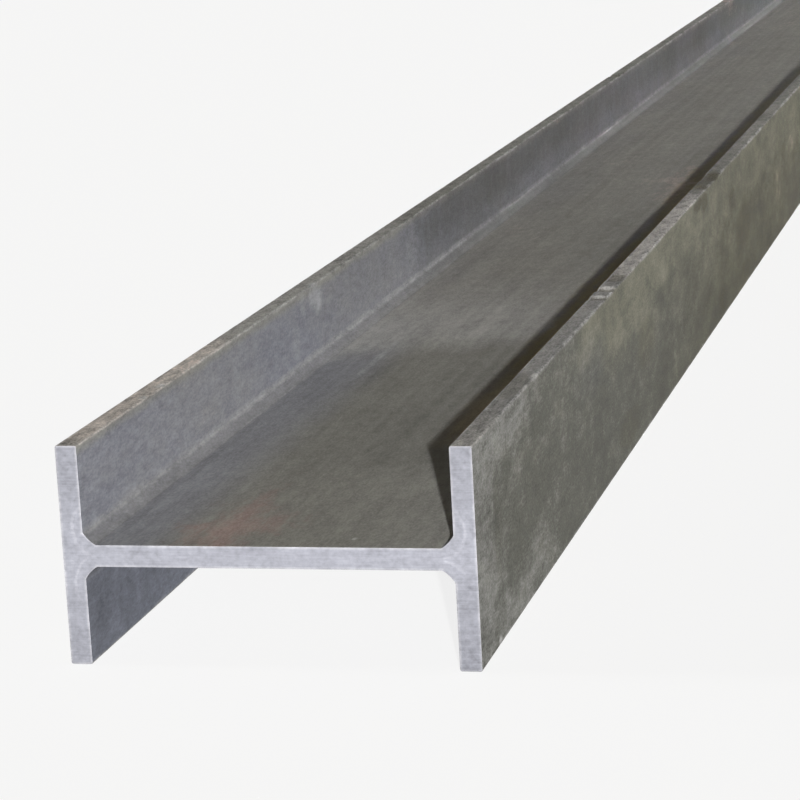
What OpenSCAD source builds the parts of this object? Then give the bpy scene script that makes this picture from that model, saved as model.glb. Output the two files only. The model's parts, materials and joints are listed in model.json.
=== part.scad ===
// Hot-rolled steel H-beam, lying on the tips of its flanges with the web level.
// X runs across the flanges, Y along the beam and Z up from the floor.
// The origin is under the middle of the beam, at floor level.

/* [Section] */
// Depth of the section, over the outer faces of both flanges
section_depth = 300; // [200:1:600]
// Width of each flange, from tip to tip
flange_width = 160; // [100:1:320]
// Thickness of each flange
flange_thickness = 16; // [8:0.5:32]
// Thickness of the web
web_thickness = 16; // [6:0.5:32]
// Radius of the rolled root where the web meets a flange
root_radius = 13; // [6:0.5:27]
// Radius that the rolls leave on the edges of the flange tips
tip_radius = 1.5; // [0.5:0.1:3]

/* [Stock] */
// Length that the beam is sawn to
beam_length = 6000; // [1000:100:12000]

/* [Hidden] */
// Sides of a full circle in the roots and the tips
round_sides = 96;
// Distance from the middle of the web to the inner face of a flange
flange_inner_x = section_depth / 2 - flange_thickness;
// Distance from the middle of the section to the middle of a flange
flange_mid_x = (section_depth - flange_thickness) / 2;
// Height of the web's middle above the floor
web_mid_z = flange_width / 2;
// A shape as drawn and its mirror image
both = [0, 1];

// What the rolls leave off one tip edge, about the square corner at the origin
module tip_cut() {
    difference() {
        translate([-tip_radius, -tip_radius]) square(2 * tip_radius);
        translate([-tip_radius, -tip_radius]) circle(r = tip_radius, $fn = round_sides);
    }
}

// One flange, upright about the origin, with its four tip edges rounded
module flange_outline() {
    difference() {
        square([flange_thickness, flange_width], center = true);
        for (left = both, low = both) mirror([left, 0]) mirror([0, low])
            translate([flange_thickness / 2, flange_width / 2]) tip_cut();
    }
}

// The metal of one root about the corner at the origin, reaching halfway into flange and web
module root_outline() {
    into_flange = flange_thickness / 2;
    into_web = web_thickness / 2;
    difference() {
        translate([-into_flange, -into_web]) square([root_radius + into_flange, root_radius + into_web]);
        translate([root_radius, root_radius]) circle(r = root_radius, $fn = round_sides);
    }
}

// The rolled section: a web between two flanges, with a root in each corner
module section_outline() {
    square([2 * flange_mid_x, web_thickness], center = true);
    for (right = both) mirror([right, 0]) {
        translate([-flange_mid_x, 0]) flange_outline();
        for (low = both) mirror([0, low])
            translate([-flange_inner_x, web_thickness / 2]) root_outline();
    }
}

// The beam, one rolled piece sawn square at both ends
module h_beam() {
    color([0.44, 0.43, 0.41])
        translate([0, 0, web_mid_z])
            rotate([90, 0, 0])
                linear_extrude(height = beam_length, center = true)
                    section_outline();
}

h_beam();
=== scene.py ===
import json
import math
from types import SimpleNamespace

import bmesh
import bpy
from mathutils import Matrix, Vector


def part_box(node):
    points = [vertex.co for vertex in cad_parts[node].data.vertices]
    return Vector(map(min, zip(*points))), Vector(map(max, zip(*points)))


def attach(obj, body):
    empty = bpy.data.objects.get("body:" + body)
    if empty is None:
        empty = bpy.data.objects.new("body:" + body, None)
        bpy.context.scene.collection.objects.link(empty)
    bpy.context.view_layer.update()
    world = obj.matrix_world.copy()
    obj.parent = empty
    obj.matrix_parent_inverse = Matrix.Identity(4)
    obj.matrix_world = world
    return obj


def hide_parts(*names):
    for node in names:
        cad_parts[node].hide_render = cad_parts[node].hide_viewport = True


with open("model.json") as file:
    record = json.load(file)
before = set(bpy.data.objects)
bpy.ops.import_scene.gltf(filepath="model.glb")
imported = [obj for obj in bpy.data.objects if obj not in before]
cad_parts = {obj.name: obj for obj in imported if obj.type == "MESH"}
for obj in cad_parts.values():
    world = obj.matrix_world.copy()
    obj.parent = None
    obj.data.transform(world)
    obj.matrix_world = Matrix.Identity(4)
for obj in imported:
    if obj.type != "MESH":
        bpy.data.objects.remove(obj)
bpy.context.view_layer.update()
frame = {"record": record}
scene = bpy.context.scene
scene.view_settings.view_transform = "Standard"

# the section as the CAD has it, in metres
mounts = {mount["name"]: mount["pos_m"] for mount in frame["record"]["mounts"]}
low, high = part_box("h_beam")
outer = high.x  # outer face of a flange, from the middle
inner = 2 * mounts["tip_right"][0] - high.x  # inner face of a flange
webMid = (low.z + high.z) / 2
webHalf = mounts["web_top"][2] - webMid
tipRise = high.z - webMid  # tips above and below the web's middle
endY = high.y
print("frame: beam", [round(side, 3) for side in high - low], "m")


def tone(red, green, blue):  # a screen colour, 0 to 255, as linear light
    return (*[((value / 255 + 0.055) / 1.055) ** 2.4 for value in (red, green, blue)], 1)


class Wire:
    def __init__(self, tree, socket=None):
        self.tree = tree
        self.socket = socket

    def node(self, kind, settings, sockets, out=0):
        made = self.tree.nodes.new("ShaderNode" + kind)
        for name, value in settings.items():
            setattr(made, name, value)
        for name, value in sockets.items():
            if isinstance(value, Wire):
                self.tree.links.new(value.socket, made.inputs[name])
            else:
                made.inputs[name].default_value = value
        return Wire(self.tree, made.outputs[out] if made.outputs else None)

    def math(self, operation, *values):
        return self.node("Math", {"operation": operation}, dict(enumerate(values)))

    def __add__(self, other):
        return self.math("ADD", self, other)

    def __sub__(self, other):
        return self.math("SUBTRACT", self, other)

    def __rsub__(self, other):
        return self.math("SUBTRACT", other, self)

    def __mul__(self, other):
        return self.math("MULTIPLY", self, other)

    def __truediv__(self, other):
        return self.math("DIVIDE", self, other)

    def __abs__(self):
        return self.math("ABSOLUTE", self)

    __radd__ = __add__
    __rmul__ = __mul__

    def least(self, other):
        return self.math("MINIMUM", self, other)

    def most(self, other):
        return self.math("MAXIMUM", self, other)

    def rise(self, start, end):  # 0 up to start, 1 from end on, smooth between
        settings = {"interpolation_type": "SMOOTHSTEP"}
        return self.node("MapRange", settings, {"Value": self, "From Min": start, "From Max": end})

    def fall(self, start, end):
        return 1 - self.rise(start, end)

    def upTo(self, limit, far, close):  # 0 far short of a limit, 1 from close to it on
        return self.rise(limit - far, limit - close)

    def band(self, start, end, soft):  # 1 between start and end
        return self.rise(start - soft, start + soft) * self.fall(end - soft, end + soft)

    def over(self, under, top):  # top colour where this mask is 1
        return self.node("Mix", {"data_type": "RGBA"}, {0: self, 6: under, 7: top}, 2)

    def shade(self, colour):  # the colour times this value
        settings = {"data_type": "RGBA", "blend_type": "MULTIPLY"}
        return self.node("Mix", settings, {0: 1.0, 6: colour, 7: self}, 2)

    def noise(self, stretch, detail, roughness, shift):  # from about -0.5 to 0.5
        moved = {"Vector": self, "Scale": stretch, "Location": (shift, shift, shift)}
        spread = self.node("Mapping", {}, moved)
        sockets = {"Vector": spread, "Scale": 1.0, "Detail": detail, "Roughness": roughness}
        return self.node("TexNoise", {}, sockets) - 0.5

    def spot(self, middle, size):  # 1 at a place, 0 from half of the size on
        away = self.node("VectorMath", {"operation": "SUBTRACT"}, {0: self, 1: middle})
        away = self.node("VectorMath", {"operation": "DIVIDE"}, {0: away, 1: size})
        return self.node("VectorMath", {"operation": "LENGTH"}, {0: away}, "Value").fall(0.15, 0.5)


def newMaterial(name):
    material = bpy.data.materials.new(name)
    material.use_nodes = True
    tree = material.node_tree
    tree.nodes.clear()
    return material, Wire(tree)


def closeMaterial(start, shader):
    start.node("OutputMaterial", {}, {"Surface": shader})


# beam, modelled from the web block outwards
beam = {
    "rootReach": 0.0092,
    "rootSteps": 10,
    "rootRound": 0.33,  # 0.25 is a flat root, 0.5 a round one
    "tipRadius": 0.0015,
    "tipSteps": 3,
    "sawBreak": 0.0005,  # the saw's sharp edge, just broken
    "sawSteps": 2,
    "edgeRound": 0.5,  # profile of the tips and of the saw's edge
    "bareShare": 0.6,  # of the broken edge, bare like the sawn face
    "cutEvery": 0.25,  # lengthwise cuts in the mesh
    "smoothUnder": 32,  # degrees between faces that shade as one
}

# knocks on the upper tips: side, place along the beam, depth, and radius of the hollow
knocks = [
    (1, -2.446, 0.0018, 0.036),
    (1, -2.402, 0.0024, 0.042),
    (1, -2.345, 0.0013, 0.220),
    (1, -1.793, 0.0020, 0.045),
    (1, -1.715, 0.0022, 0.320),
    (-1, -0.62, 0.0018, 0.060),
    (-1, 0.85, 0.0022, 0.070),
    (-1, 0.91, 0.0016, 0.045),
    (1, 0.34, 0.0020, 0.060),
    (1, 2.21, 0.0022, 0.060),
    (-1, 2.46, 0.0018, 0.050),
]
knockSides = {"small": 128, "wide": 512, "wideFrom": 0.1}  # sides of a round cutter, by its radius


def pick(piece, mode, test):
    bpy.ops.mesh.select_mode(type=mode)
    bpy.ops.mesh.select_all(action="DESELECT")
    cage = bmesh.from_edit_mesh(piece.data)
    for part in cage.faces if mode == "FACE" else cage.edges:
        part.select_set(test(part))
    bmesh.update_edit_mesh(piece.data)


def runsAlong(edge):
    first, second = edge.verts
    return abs(first.co.y - second.co.y) > endY


def near(value, wanted):
    return abs(value - wanted) < 1e-5


def isRoot(edge):
    point = edge.verts[0].co
    return runsAlong(edge) and near(abs(point.x), inner) and near(abs(point.z - webMid), webHalf)


def isTip(edge):
    point = edge.verts[0].co
    onFace = near(abs(point.x), inner) or near(abs(point.x), outer)
    return runsAlong(edge) and onFace and near(abs(point.z - webMid), tipRise)


def isEndRim(edge):
    return not runsAlong(edge) and all(near(abs(vert.co.y), endY) for vert in edge.verts)


def isFlangeStub(face, level):  # looks up or down, at the level asked for
    return face.normal.z * level > 0.9 and abs(face.calc_center_median().x) > inner


def rollBeam():
    bpy.ops.object.select_all(action="DESELECT")
    bpy.ops.mesh.primitive_cube_add(size=1, location=(0, 0, webMid))
    piece = bpy.context.object
    piece.name = "rolled_beam"
    bpy.ops.transform.resize(value=(2 * outer, 2 * endY, 2 * webHalf))
    bpy.ops.object.transform_apply(location=True, rotation=True, scale=True)
    bpy.ops.object.mode_set(mode="EDIT")
    for side in (-1, 1):  # part the flanges off the web
        bpy.ops.mesh.select_all(action="SELECT")
        bpy.ops.mesh.bisect(plane_co=(side * inner, 0, 0), plane_no=(1, 0, 0))
    for level in (-1, 1):  # draw the flanges up and down to their tips
        pick(piece, "FACE", lambda face: isFlangeStub(face, level))
        drawn = (0, 0, level * (tipRise - webHalf))
        bpy.ops.mesh.extrude_region_move(TRANSFORM_OT_translate={"value": drawn})
    bpy.ops.mesh.select_all(action="SELECT")
    bpy.ops.mesh.dissolve_limited(angle_limit=math.radians(1))
    pick(piece, "EDGE", isRoot)
    bpy.ops.mesh.bevel(offset=beam["rootReach"], segments=beam["rootSteps"], profile=beam["rootRound"])
    pick(piece, "EDGE", isTip)
    bpy.ops.mesh.bevel(offset=beam["tipRadius"], segments=beam["tipSteps"], profile=beam["edgeRound"])
    pick(piece, "EDGE", isEndRim)
    bpy.ops.mesh.bevel(offset=beam["sawBreak"], segments=beam["sawSteps"], profile=beam["edgeRound"])
    cuts = int(2 * endY / beam["cutEvery"])
    for index in range(1, cuts):
        bpy.ops.mesh.select_all(action="SELECT")
        bpy.ops.mesh.bisect(plane_co=(0, index * beam["cutEvery"] - endY, 0), plane_no=(0, 1, 0))
    bpy.ops.mesh.select_all(action="SELECT")
    bpy.ops.mesh.normals_make_consistent(inside=False)
    bpy.ops.object.mode_set(mode="OBJECT")
    return piece


def knockTips(piece):
    cutters = []
    for side, along, depth, radius in knocks:
        height = webMid + (tipRise - depth + radius)
        bpy.ops.object.select_all(action="DESELECT")
        bpy.ops.mesh.primitive_cylinder_add(
            vertices=knockSides["small" if radius < knockSides["wideFrom"] else "wide"],
            radius=radius,
            depth=3 * (outer - inner),  # well past both faces of the flange
            location=(side * (inner + outer) / 2, along, height),
            rotation=(0, math.pi / 2, 0),
        )
        cutters.append(bpy.context.object)
    for cutter in cutters:
        cutter.select_set(True)
    bpy.ops.object.join()
    cutter = bpy.context.object
    bpy.ops.object.select_all(action="DESELECT")
    piece.select_set(True)
    bpy.context.view_layer.objects.active = piece
    hollow = piece.modifiers.new("knocks", "BOOLEAN")
    hollow.operation = "DIFFERENCE"
    hollow.solver = "EXACT"
    hollow.use_self = True
    hollow.object = cutter
    bpy.ops.object.modifier_apply(modifier=hollow.name)
    bpy.data.objects.remove(cutter)


# the skin laid out flat: both half lengths of every face side by side, with the ends above them
flatSheet = {"name": "OFBake", "gap": 0.008, "endsLarger": 1.6, "endFacing": 0.6}


def stripOf(face):  # the face of the beam that a mesh face belongs to
    middle, normal = face.center, face.normal
    if abs(normal.y) > flatSheet["endFacing"]:
        return "sawn", middle.y > 0
    half, right, upper = middle.y > 0, middle.x > 0, middle.z > webMid
    if abs(normal.x) > abs(normal.z):
        if normal.x * middle.x > 0:
            return "outer", half, right
        return "inner", half, right, upper
    if abs(middle.z - webMid) > webHalf + beam["rootReach"]:
        return "tip", half, right, upper
    return "web", half, upper


def layFlat(piece):
    mesh = piece.data
    strips = {}
    for face in mesh.polygons:
        for corner in face.loop_indices:
            point = mesh.vertices[mesh.loops[corner].vertex_index].co
            strips.setdefault(stripOf(face), []).append((corner, point))
    gap, larger = flatSheet["gap"], flatSheet["endsLarger"]
    spots = {}
    width, endsWidth = gap, gap
    for strip, corners in sorted(strips.items()):
        if strip[0] == "sawn":
            for corner, point in corners:
                up = endY + 2 * gap + larger * point.z
                spots[corner] = (endsWidth + larger * (point.x + outer), up)
            endsWidth += 2 * larger * outer + gap
            continue
        axis = "z" if strip[0] in ("outer", "inner") else "x"
        start = min(getattr(point, axis) for corner, point in corners)
        end = max(getattr(point, axis) for corner, point in corners)
        for corner, point in corners:
            spots[corner] = (width + getattr(point, axis) - start, gap + abs(point.y))
        width += end - start + gap
    height = endY + 3 * gap + 2 * larger * tipRise
    layer = mesh.uv_layers.new(name=flatSheet["name"])
    for corner, (across, up) in spots.items():
        layer.data[corner].uv = (across / width, up / height)


def finishBeam(piece, scale, bare):
    piece.data.materials.clear()
    piece.data.materials.append(scale)
    piece.data.materials.append(bare)
    for face in piece.data.polygons:
        face.material_index = int(abs(face.center.y) > endY - beam["sawBreak"] * beam["bareShare"])
    bpy.ops.object.shade_smooth_by_angle(angle=math.radians(beam["smoothUnder"]))
    weighted = piece.modifiers.new("flatFaces", "WEIGHTED_NORMAL")
    weighted.keep_sharp = True
    bpy.ops.object.modifier_apply(modifier=weighted.name)
    layFlat(piece)
    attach(piece, "root")
    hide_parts("h_beam")


# patches in the mill scale: how many to the metre along x, y and z, detail, roughness and shift
patches = {
    "zones": ((1.5, 0.7, 1.5), 2.0, 0.5, 4.0),
    "clouds": ((9.0, 3.5, 9.0), 4.0, 0.6, 3.0),
    "blotch": ((32, 11, 32), 5.0, 0.62, 8.0),
    "runs": ((60, 40, 14), 4.0, 0.6, 5.0),  # down the flanges
    "drawn": ((110, 1.4, 110), 3.0, 0.55, 9.0),  # along the rolling
    "mottle": ((150, 50, 150), 5.0, 0.7, 1.0),
    "grain": ((600, 220, 600), 3.0, 0.65, 7.0),
    "bare": ((60, 16, 60), 5.0, 0.65, 21.0),
}

# how far from an edge one finish goes over into the next
seams = {
    "outer": (0.004, 0.001),
    "web": (0.001, 0.004),
    "tip": (0.0022, 0.0006),
    "knock": (0.006, 0.005),  # as deep as a knock may be
    "flange": (0.0012, 0.0006),  # inset of a tip's flat, and softness
    "level": 0.002,
    "sides": 0.02,
}

# web: cooler beside the left flange, paler from a slanting line on (dust, with a painted sheen), and
# beside the right flange a painted shadow tint with some grime, laid where the flange's shadow falls
webSkin = {
    "plain": tone(148, 147, 141),
    "cool": tone(148, 149, 154),
    # dusty: paler, partly dust and partly a painted sheen on the far web
    "dusty": tone(175, 174, 172),
    # far: darker further along, partly a painted falloff of the light
    "far": tone(143, 141, 136),
    # painted shadow: warm dark tones, with some grime, for the strip of the web that the right flange
    # shades
    "grimeEnd": tone(166, 154, 126),
    "grime": tone(132, 121, 74),
    "rust": tone(180, 156, 150),
    "coolAcross": (-0.10, -0.05),
    "dull": (-2.84, -2.70),  # darker from here on, more so on the right
    "dullAcross": (-0.05, 0.05),
    "dustFrom": (-2.275, 0.6),  # place along at the middle, and slant across
    "dustSoft": (-0.05, 0.06),
    "dustThins": (-0.02, 0.06),  # across, towards the right
    "dustFades": (-2.25, -1.85),
    # where the painted shadow lies: across from the flange's shadow edge, and along from where that
    # shadow starts
    "grimeAcross": (0.044, 0.060),
    "grimeStarts": (-2.72, -2.62),
    "grimeDeepens": (-2.6, -2.3),
    "grimeFades": (-1.4, 1.0),
    "rustPatch": ((-0.038, -2.950), (0.032, 0.085)),  # middle and half size
}

# inner faces: darker further along, partly a painted falloff of the light, and darker under the web,
# pale along the upper edge
innerSkin = {
    "plain": tone(156, 158, 168),
    "warm": tone(158, 157, 156),
    "far": tone(103, 103, 102),
    "low": tone(120, 123, 133),
    "edge": tone(160, 159, 150),
    "darkening": (-2.85, -2.00),  # slowly over this stretch, partly a painted falloff of the light
    "dark": (-2.06, -1.84),  # and then more quickly
    "nearWeb": (0.025, 0.055),  # not as dark down here
    "edgeDepth": (0.010, 0.002),
    "edgeFades": (-2.1, -1.8),
}

# outer faces: dusty at the ends, olive towards the upper edge, browner and darker further along,
# partly a painted falloff of the light
# a pair of pairs is levels up the flange, 0 to 1, and distances from the beam's middle
outerSkin = {
    "plain": tone(107, 107, 100),
    "dusty": tone(143, 143, 140),
    "olive": tone(128, 127, 113),
    "brown": tone(101, 99, 83),
    "endDust": (0.14, 0.01),  # short of the ends
    "lowDust": ((0.08, 0.40), (2.6, 2.85)),
    "topDust": ((0.72, 0.92), (2.72, 2.9)),
    "farDust": ((0.22, 0.62), (1.9, 2.3)),
    "dustless": (0.1, 0.35),  # levels
    "browner": (1.5, 2.5),
    "oliveUp": ((0.3, 1.0), (2.50, 2.66)),
    "oliveThins": (1.6, 2.3),
    "darkLow": ((0.2, 0.45), (2.45, 2.65)),
    "uneven": (2.0, 2.8),
}

# tips of the flanges, darker further along, partly a painted falloff of the light
tipSkin = {
    "plain": tone(137, 136, 134),
    "far": tone(129, 128, 123),
    "left": tone(153, 152, 149),
    "scraped": tone(167, 164, 160),
    "rusty": tone(194, 186, 180),
    "dirty": tone(112, 108, 97),  # down in the knocks
    "farFrom": (-2.4, -1.8),
    "scrapedAlong": (-2.33, -1.83, 0.02),  # stretch of the right tip that something has rubbed
    "rustyAlong": (-2.99, -2.62, 0.04),  # stretch of the left tip
    "rustiest": (2.8, 2.95),
    "endRub": (0.13, 0.03),  # short of the ends
    "dirtDepth": (0.0009, 0.0003),
}

# roots, with painted highlights as pale lines at their toes
rootSkin = {
    "face": tone(135, 135, 137),
    "far": tone(116, 116, 116),
    "toe": tone(172, 172, 174),
    "underWeb": 0.25,  # strength down there, where it is plainer
    "soft": 0.0008,
    "flangeSide": 0.002,  # how far past the inner face the finish still counts
    "webSide": (0.001, 0.002),
    "upperToe": (0.0008, 0.0042),
    "lowerToe": (0.0004, 0.0020),
    "faceFades": (1.7, 2.4),
    "toeStronger": (2.4, 2.75),
    "toeFades": (1.5, 2.1),
}

# worn corners of the tips
wornEdge = {"depth": (0.004, 0.001), "outer": (0.003, 0.0006), "inner": (0.0006, 0.0025)}

# single marks: place, size and strength
marks = {
    "worn": tone(205, 204, 203),
    "flecks": [
        ((0.058, -2.977, 0.088), (0.005, 0.010, 0.006), 0.7),
        ((0.150, -2.936, 0.003), (0.006, 0.016, 0.011), 0.7),
        ((0.135, -2.884, 0.160), (0.008, 0.016, 0.008), 0.7),
        ((0.149, -2.766, 0.160), (0.008, 0.045, 0.008), 0.5),
        ((-0.137, -2.842, 0.160), (0.009, 0.018, 0.009), 0.7),
        ((-0.137, -2.800, 0.160), (0.009, 0.026, 0.009), 0.7),
        # pale marks on the far walls of two knocks: partly scraped steel, partly a painted highlight
        # where the light meets those walls
        ((0.142, -2.437, 0.159), (0.016, 0.014, 0.008), 0.35),
        ((0.142, -2.392, 0.159), (0.016, 0.014, 0.008), 0.35),
    ],
    "rubbed": tone(184, 185, 189),
    "smears": [
        ((-0.134, -2.362, 0.153), (0.020, 0.044, 0.034), 0.60),
        ((-0.134, -2.346, 0.143), (0.020, 0.044, 0.034), 0.65),
        ((-0.134, -2.395, 0.148), (0.020, 0.030, 0.034), 0.30),
        ((-0.134, -2.425, 0.120), (0.020, 0.036, 0.064), 0.25),
        ((-0.134, -1.975, 0.125), (0.020, 0.080, 0.080), 0.15),
        ((-0.081, -2.345, 0.088), (0.010, 0.240, 0.020), 0.35),
        ((0.150, -2.530, 0.120), (0.020, 0.200, 0.080), 0.08),
    ],
    "dirt": tone(76, 73, 58),
    "stains": [
        ((0.150, -1.868, 0.152), (0.020, 0.110, 0.024), 0.75),
        ((0.150, -1.818, 0.147), (0.020, 0.090, 0.032), 0.65),
        ((0.150, -1.590, 0.117), (0.020, 0.090, 0.040), 0.65),
        ((0.150, -1.490, 0.072), (0.020, 0.220, 0.080), 0.50),
        ((0.150, -1.490, 0.016), (0.020, 0.160, 0.040), 0.50),
        ((0.150, -1.692, 0.022), (0.020, 0.110, 0.040), 0.50),
        ((0.150, -2.240, 0.080), (0.020, 0.170, 0.070), 0.40),
        ((0.150, -2.350, 0.025), (0.020, 0.180, 0.050), 0.35),
        ((0.142, -1.740, 0.160), (0.040, 0.230, 0.014), 0.70),
        ((0.142, -2.805, 0.160), (0.040, 0.140, 0.014), 0.30),
        ((0.150, -2.926, 0.090), (0.020, 0.050, 0.120), 0.25),
    ],
}


def surveySkin(start):  # where a point of the skin is, and the patches of scale there
    at = SimpleNamespace()
    at.place = start.node("TexCoord", {}, {}, "Object")
    place = {"Vector": at.place}
    at.across, at.along, at.up = [start.node("SeparateXYZ", {}, place, axis) for axis in "XYZ"]
    at.side = abs(at.across)
    at.rise = abs(at.up - webMid)
    at.toEnd = abs(at.along)
    at.level = at.up / (2 * tipRise)  # 0 on the floor, 1 at the upper tips
    at.above = at.up.rise(webMid - seams["level"], webMid + seams["level"])
    at.left = at.across.fall(-seams["sides"], seams["sides"])
    inset, soft = seams["flange"]
    at.inFlange = at.side.band(inner + inset, outer - inset, soft)
    for name, patch in patches.items():
        setattr(at, name, at.place.noise(*patch))
    return at


def webColour(at):
    cool = (at.across + 0.04 * at.clouds).fall(*webSkin["coolAcross"])
    colour = cool.over(webSkin["plain"], webSkin["cool"])
    dull = at.along.rise(*webSkin["dull"]) * (0.10 + 0.12 * at.across.rise(*webSkin["dullAcross"]))
    colour = (1 - dull).shade(colour)
    # paler from a slanting line on: dust, with a painted sheen in it
    middle, slant = webSkin["dustFrom"]
    fromLine = at.along - middle - at.across * slant + 0.12 * at.clouds
    dusty = fromLine.rise(*webSkin["dustSoft"]) * (1 - 0.5 * at.across.rise(*webSkin["dustThins"]))
    # the dust fades into the far tone, which is partly a painted falloff of the light
    faded = (at.along + 0.3 * at.clouds).rise(*webSkin["dustFades"])
    dust = faded.over(webSkin["dusty"], webSkin["far"])
    colour = (dusty * (0.85 + 0.8 * at.clouds)).over(colour, dust)
    # painted shadow, with some grime: a warm dark tint in the strip of the web that the right flange
    # shades
    grime = (at.across + 0.03 * at.clouds).rise(*webSkin["grimeAcross"]) * at.above
    grime = grime * at.along.rise(*webSkin["grimeStarts"]) * at.along.fall(*webSkin["grimeFades"])
    dirt = at.along.rise(*webSkin["grimeDeepens"]).over(webSkin["grimeEnd"], webSkin["grime"])
    return (grime * (0.95 + 0.5 * at.clouds + 0.5 * at.blotch)).over(colour, dirt)


def innerColour(at):
    warm = 0.2 + 1.6 * at.clouds + 1.2 * at.blotch
    colour = warm.over(innerSkin["plain"], innerSkin["warm"])
    # darker further along, partly a painted falloff of the light
    slowly = (at.along + 0.2 * at.clouds).rise(*innerSkin["darkening"])
    quickly = (at.along + 0.1 * at.runs).rise(*innerSkin["dark"])
    darker = (0.36 * slowly + 0.57 * quickly) * (1 - 0.2 * at.rise.fall(*innerSkin["nearWeb"]))
    darker = darker * (0.95 + 0.6 * at.zones + 0.6 * at.clouds + 0.5 * at.runs)
    colour = darker.over(colour, innerSkin["far"])
    edge = (at.rise + 0.008 * at.blotch).upTo(tipRise, *innerSkin["edgeDepth"])
    edge = edge * (0.7 - 0.45 * at.along.rise(*innerSkin["edgeFades"]))
    colour = edge.over(colour, innerSkin["edge"])
    under = (1 + 0.5 * at.clouds + 0.4 * at.runs).shade(innerSkin["low"])
    return at.above.over(under, colour)


def outerDust(at):
    lowLevels, lowStretch = outerSkin["lowDust"]
    topLevels, topStretch = outerSkin["topDust"]
    farLevels, farStretch = outerSkin["farDust"]
    endDust = at.toEnd.upTo(endY, *outerSkin["endDust"]) * 0.8
    lowDust = at.level.fall(*lowLevels) * at.toEnd.rise(*lowStretch) * 0.7
    topDust = at.level.rise(*topLevels) * at.toEnd.rise(*topStretch) * 0.85
    farDust = (at.zones + 0.8 * at.clouds).rise(-0.1, 0.16) * at.toEnd.fall(*farStretch) * 0.6
    farDust = farDust * at.level.band(*farLevels, 0.15)
    dust = endDust.most(lowDust).most(topDust).most(farDust)
    dust = dust - 0.15 * at.level.fall(*outerSkin["dustless"])
    dust = dust + 0.8 * at.clouds + at.runs + 1.2 * at.blotch + 1.8 * at.mottle + at.grain
    return dust.rise(-0.1, 1.2)


def outerColour(at):
    colour = outerDust(at).over(outerSkin["plain"], outerSkin["dusty"])
    # browner and darker further along, partly a painted falloff of the light
    brown = at.toEnd.fall(*outerSkin["browner"]) * (0.85 + 0.8 * at.zones + 0.8 * at.clouds)
    colour = brown.over(colour, outerSkin["brown"])
    levels, stretch = outerSkin["oliveUp"]
    olive = at.level.rise(*levels) * at.toEnd.fall(*stretch) + 1.1 * at.clouds + 1.5 * at.blotch
    olive = olive.rise(0.05, 1.0) * (0.9 - 0.3 * at.toEnd.fall(*outerSkin["oliveThins"]))
    colour = olive.over(colour, outerSkin["olive"])
    levels, stretch = outerSkin["darkLow"]
    darker = 0.12 * at.level.fall(*levels) * at.toEnd.fall(*stretch)
    uneven = (0.35 * at.clouds + 0.5 * at.blotch) * at.toEnd.fall(*outerSkin["uneven"])
    return (1 - darker + uneven).shade(colour)


def tipColour(at):
    # darker further along, partly a painted falloff of the light
    nearEnd = at.along.fall(*tipSkin["farFrom"])
    colour = nearEnd.over(tipSkin["far"], tipSkin["plain"])
    colour = (at.left * nearEnd).over(colour, tipSkin["left"])
    rubbed = at.along.band(*tipSkin["scrapedAlong"]) * (1 - at.left) * at.above
    rubbed = rubbed.most(at.toEnd.upTo(endY, *tipSkin["endRub"]) * 0.5)
    rubbed = rubbed * (0.8 + 2.8 * at.mottle + 1.6 * at.blotch)
    colour = rubbed.over(colour, tipSkin["scraped"])
    rusty = at.along.band(*tipSkin["rustyAlong"]) * at.left * at.above
    rusty = rusty * (0.75 + 0.3 * at.toEnd.rise(*tipSkin["rustiest"]) + 2.0 * at.mottle)
    colour = rusty.over(colour, tipSkin["rusty"])
    hollow = at.inFlange * (1 - at.rise.upTo(tipRise, *tipSkin["dirtDepth"]))
    return (hollow * 0.5).over(colour, tipSkin["dirty"])


def addRoots(at, colour):
    reach, soft, past = beam["rootReach"], rootSkin["soft"], rootSkin["flangeSide"]
    firm = rootSkin["underWeb"] + (1 - rootSkin["underWeb"]) * at.above
    onRoot = at.side.band(inner - reach, inner + past, soft)
    onRoot = onRoot * at.rise.fall(webHalf + reach - soft, webHalf + reach)
    face = at.toEnd.fall(*rootSkin["faceFades"]).over(rootSkin["face"], rootSkin["far"])
    colour = (onRoot * firm * 0.8).over(colour, face)
    # painted highlights: pale lines along the toes of the roots, where the curve would catch the light
    upperToe = abs(at.rise - webHalf - reach).fall(*rootSkin["upperToe"])
    upperToe = upperToe * at.side.band(inner - past, inner + past, soft)
    lowerToe = abs(at.side - inner + reach).fall(*rootSkin["lowerToe"])
    lowerToe = lowerToe * (at.rise - webHalf).fall(*rootSkin["webSide"])
    toeHighlights = (upperToe * 0.8 + lowerToe * 0.25) * (0.8 + 1.6 * at.mottle + 1.6 * at.blotch)
    stronger = 0.2 * at.toEnd.fall(*rootSkin["toeStronger"])
    toeHighlights = toeHighlights * (0.75 + stronger - 0.5 * at.toEnd.fall(*rootSkin["toeFades"]))
    return (toeHighlights * firm).over(colour, rootSkin["toe"])


def addRust(at, onWeb, onOuter, colour):
    (middleX, middleY), (reachX, reachY) = webSkin["rustPatch"]
    fromPatch = abs(at.across - middleX) / reachX + abs(at.along - middleY) / reachY
    fromPatch = fromPatch + 3.6 * at.blotch + 2.0 * at.mottle
    patch = fromPatch.fall(0.3, 1.6) * onWeb * at.above * 0.75
    scattered = at.zones + at.clouds + 0.6 * at.blotch + 0.5 * at.mottle
    scattered = scattered.rise(0.2, 0.42) * (0.35 - 0.2 * onOuter)
    return patch.most(scattered).over(colour, webSkin["rust"])


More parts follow.
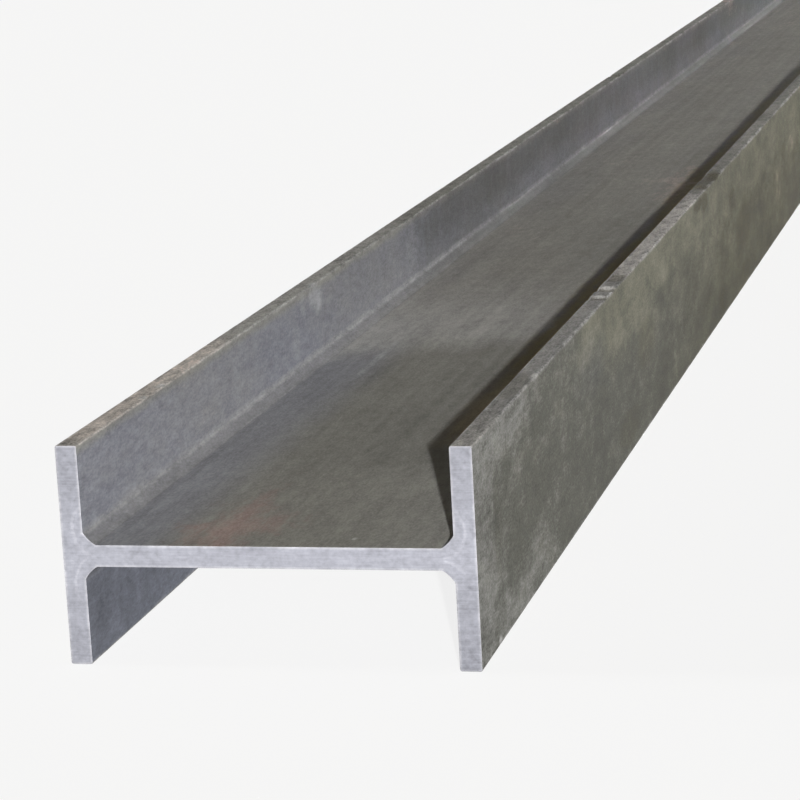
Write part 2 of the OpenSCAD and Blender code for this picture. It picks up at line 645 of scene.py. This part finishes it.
def addMarks(at, onOuter, colour):
    stained = (at.clouds + 0.8 * at.blotch + 0.4 * at.runs).fall(-0.5, -0.3) * onOuter * 0.4
    for middle, size, strength in marks["stains"]:
        ragged = at.place.spot(middle, size) * (1 + 3.0 * at.mottle + 1.5 * at.blotch)
        stained = stained.most(ragged.rise(0.2, 1.0) * strength)
    colour = stained.over(colour, marks["dirt"])
    for middle, size, strength in marks["smears"]:
        ragged = strength * (1 + 1.6 * at.runs + 2.0 * at.mottle)
        colour = (at.place.spot(middle, size) * ragged).over(colour, marks["rubbed"])
    return colour


def tipWear(at):
    atTip = at.rise.upTo(tipRise, *wornEdge["depth"])
    outerEdge = at.side.upTo(outer, *wornEdge["outer"]) * atTip
    innerEdge = (at.side - inner).fall(*wornEdge["inner"]) * atTip
    wear = (outerEdge * (0.15 + 2.6 * at.bare)).most(innerEdge * (0.15 + 2.0 * at.bare)).most(0.0)
    for middle, size, strength in marks["flecks"]:
        wear = wear.most(at.place.spot(middle, size) * (strength + 1.2 * at.mottle))
    return wear


def millScale():
    material, start = newMaterial("millScale")
    at = surveySkin(start)
    onOuter = at.side.upTo(outer, *seams["outer"])
    onWeb = (at.rise - webHalf).fall(*seams["web"]) * (1 - onOuter)
    inKnock = at.inFlange * at.rise.upTo(tipRise, *seams["knock"])
    onTip = at.rise.upTo(tipRise, *seams["tip"]).most(inKnock)

    colour = onWeb.over(innerColour(at), webColour(at))
    colour = addRoots(at, colour)
    colour = onOuter.over(colour, outerColour(at))
    colour = onTip.over(colour, tipColour(at))
    colour = addRust(at, onWeb, onOuter, colour)
    colour = addMarks(at, onOuter, colour)
    wear = tipWear(at)
    # wear on the tips, with painted highlights on the far walls of two knocks
    colour = wear.over(colour, marks["worn"])

    streaks = onWeb * at.drawn * 0.45 + (1 - onOuter) * (1 - onWeb) * at.runs * 0.2
    speckle = 0.25 * at.clouds + 0.6 * at.blotch + 1.2 * at.mottle + 1.1 * at.grain
    speckle = speckle * (0.75 + 0.35 * onOuter + onTip)
    colour = (1 + streaks + speckle).shade(colour)

    height = 0.4 * at.blotch + 0.5 * at.mottle + 0.35 * at.grain
    bump = start.node("Bump", {}, {"Strength": 0.8, "Distance": 0.0012, "Height": height}, "Normal")
    sockets = {
        "Base Color": colour,
        "Roughness": (0.66 + 0.5 * at.mottle - 0.2 * wear).least(0.95),
        "Metallic": wear * 0.4,
        "Specular IOR Level": 0.05,
        "Normal": bump,
    }
    closeMaterial(start, start.node("BsdfPrincipled", {}, sockets))
    return material


# bare sawn ends, with patches given as for the mill scale
sawn = {
    "steel": tone(140, 141, 149),
    # pale band round the outline: bright broken edge, partly a painted highlight
    "rim": tone(164, 164, 170),
    "line": tone(168, 168, 176),
    "blotch": ((40, 40, 40), 4.0, 0.6, 2.0),
    "mottle": ((220, 220, 260), 4.0, 0.65, 11.0),
    "strokes": ((30, 30, 700), 3.0, 0.6, 5.0),  # left by the saw
    "rimWidth": (0.0005, 0.0022),
    "flow": (0.012, 0.021),  # faint lines round the roots: centre off the corner, and radius
    "flowWidth": (0.0003, 0.0016),
    "flowInside": (0.014, 0.006),  # where they start, short of the flange
    "flowOutside": (0.006, 0.003),  # and end, short of its outer face
    "smudge": ((0.02, 0.0), (0.04, 0.08)),  # painted shade low on the right flange: short of the right flange, and up from the floor
}


def sawnSteel():
    material, start = newMaterial("sawnSteel")
    place = start.node("TexCoord", {}, {}, "Object")
    across, up = [start.node("SeparateXYZ", {}, {"Vector": place}, axis) for axis in "XZ"]
    side = abs(across)
    rise = abs(up - webMid)
    reach = beam["rootReach"]
    blotch, mottle, strokes = [place.noise(*sawn[name]) for name in ("blotch", "mottle", "strokes")]

    # how deep in the section a point is, the roots with it
    half = (outer - inner) / 2
    inFlange = (half - abs(side - inner - half)).least(tipRise - rise)
    inWeb = (webHalf - rise).least(outer - side)
    toRoot = (side - inner + reach + webHalf - rise) * math.sqrt(0.5)
    inRoot = toRoot.least(outer - side).least(webHalf + reach - rise).least(side - inner + reach)
    deep = inFlange.most(inWeb).most(inRoot)
    offCorner, radius = sawn["flow"]
    section = start.node("CombineXYZ", {}, {"X": side, "Y": rise, "Z": 0.0})
    centre = (inner - offCorner, webHalf + offCorner, 0.0)
    fromCentre = start.node("VectorMath", {"operation": "DISTANCE"}, {0: section, 1: centre}, "Value")
    flow = abs(fromCentre - radius + 0.014 * blotch).fall(*sawn["flowWidth"])
    flow = flow * side.upTo(inner, *sawn["flowInside"]) * (1 - side.upTo(outer, *sawn["flowOutside"]))

    colour = (flow * (0.2 + 1.2 * blotch)).over(sawn["steel"], sawn["line"])
    # pale rim round the end's outline: the broken edge's bright steel, partly a painted highlight on
    # it
    rim = deep.fall(*sawn["rimWidth"]) * (0.7 + 2.5 * blotch)
    colour = rim.over(colour, sawn["rim"])
    # painted light: the end face lighter at the web, darker towards the tips and darker low on the
    # right flange, as the light falls off across it
    beside, above = sawn["smudge"]
    smudge = across.upTo(inner, *beside) * up.fall(*above)
    lit = 1.04 - 0.22 * rise / tipRise - 0.10 * smudge
    colour = (lit + 0.6 * blotch + 0.8 * mottle + 0.4 * strokes).shade(colour)
    height = 0.6 * strokes + 0.5 * mottle
    bump = start.node("Bump", {}, {"Strength": 0.3, "Distance": 0.0004, "Height": height}, "Normal")
    sockets = {
        "Base Color": colour,
        "Roughness": 0.5 + 0.5 * mottle,
        "Metallic": 0.3,
        "Specular IOR Level": 0.3,
        "Normal": bump,
    }
    closeMaterial(start, start.node("BsdfPrincipled", {}, sockets))
    return material


# floor and backdrop
stage = {"half": 60.0, "colour": (0.88, 0.88, 0.88, 1), "shown": (1, 1, 1, 1), "shownShare": 0.84}
sky = {
    "light": 0.045,
    "tint": (1, 0.78, 0.26, 1),
    "shown": 0.915,
    "overhead": 0.05,
    "paleUpTo": 0.15,
    "darkFrom": 0.3,
}


def seenRay(start):  # 1 for what the camera sees, also in gloss and through glass
    rays = ["Is Camera Ray", "Is Glossy Ray", "Is Transmission Ray"]
    camera, glossy, through = [start.node("LightPath", {}, {}, ray) for ray in rays]
    return camera.most(glossy).most(through)


def layFloor():
    bpy.ops.object.select_all(action="DESELECT")
    bpy.ops.mesh.primitive_plane_add(size=2 * stage["half"], location=(0, 0, 0))
    floor = bpy.context.object
    floor.name = "floor"
    material, start = newMaterial("paleFloor")
    plain = start.node("BsdfDiffuse", {}, {"Color": stage["colour"]})
    lit = start.node("Emission", {}, {"Color": stage["shown"], "Strength": 1.0})
    share = seenRay(start) * stage["shownShare"]
    closeMaterial(start, start.node("MixShader", {}, {0: share, 1: plain, 2: lit}))
    floor.data.materials.append(material)


def lightSky():
    world = bpy.data.worlds.new("studio")
    world.use_nodes = True
    world.node_tree.nodes.clear()
    start = Wire(world.node_tree)
    way = start.node("TexCoord", {}, {}, "Generated")
    upward = start.node("SeparateXYZ", {}, {"Vector": way}, "Z")
    pale = upward.fall(sky["paleUpTo"], sky["darkFrom"])
    shown = sky["overhead"] + pale * (sky["shown"] - sky["overhead"])
    seen = seenRay(start)
    strength = sky["light"] + seen * (shown - sky["light"])
    tint = seen.over(sky["tint"], (1, 1, 1, 1))
    glow = start.node("Background", {}, {"Color": tint, "Strength": strength})
    start.node("OutputWorld", {}, {"Surface": glow})
    scene.world = world


# suns: way that the light travels, degrees that the lamp spans, and level on a face square to it
lamps = {
    "key": {"way": (-0.273, 0.937, -0.218), "wide": 1.05, "level": 1.8},
    "left": {"way": (0.98, 0.0, -0.19), "wide": 7.0, "level": 0.58},
    "back": {"way": (0.0, -1.0, -0.005), "wide": 1.0, "level": 0.8},
}


def hangLamps():
    for name, setting in lamps.items():
        lamp = bpy.data.lights.new(name, "SUN")
        lamp.angle = math.radians(setting["wide"])
        lamp.energy = setting["level"] * math.pi
        holder = bpy.data.objects.new(name, lamp)
        holder.rotation_euler = Vector(setting["way"]).to_track_quat("-Z", "Y").to_euler()
        scene.collection.objects.link(holder)


# camera, as the photograph was taken
view = {
    "place": (0.5754, -4.8894, 0.6051),
    "turn": 14.07,  # degrees to the left of the beam's own line
    "down": 11.97,
    "roll": -3.14,
    "lens": 131.85,
    "sensor": 36.0,
    "seesTo": 200.0,
}


def placeCamera():
    lens = bpy.data.cameras.new("camera")
    lens.lens = view["lens"]
    lens.sensor_width = view["sensor"]
    lens.clip_end = view["seesTo"]
    camera = bpy.data.objects.new("camera", lens)
    camera.location = view["place"]
    camera.rotation_euler = (math.radians(90 - view["down"]), 0, math.radians(view["turn"]))
    camera.rotation_euler.rotate_axis("Z", math.radians(view["roll"]))
    scene.collection.objects.link(camera)
    scene.camera = camera


placeCamera()
layFloor()
lightSky()
hangLamps()
print("stage: camera, floor and", len(lamps), "lamps")

rolledBeam = rollBeam()
print("beam rolled:", len(rolledBeam.data.polygons), "faces")
knockTips(rolledBeam)
print("tips knocked:", len(rolledBeam.data.polygons), "faces")
finishBeam(rolledBeam, millScale(), sawnSteel())
print("beam finished")
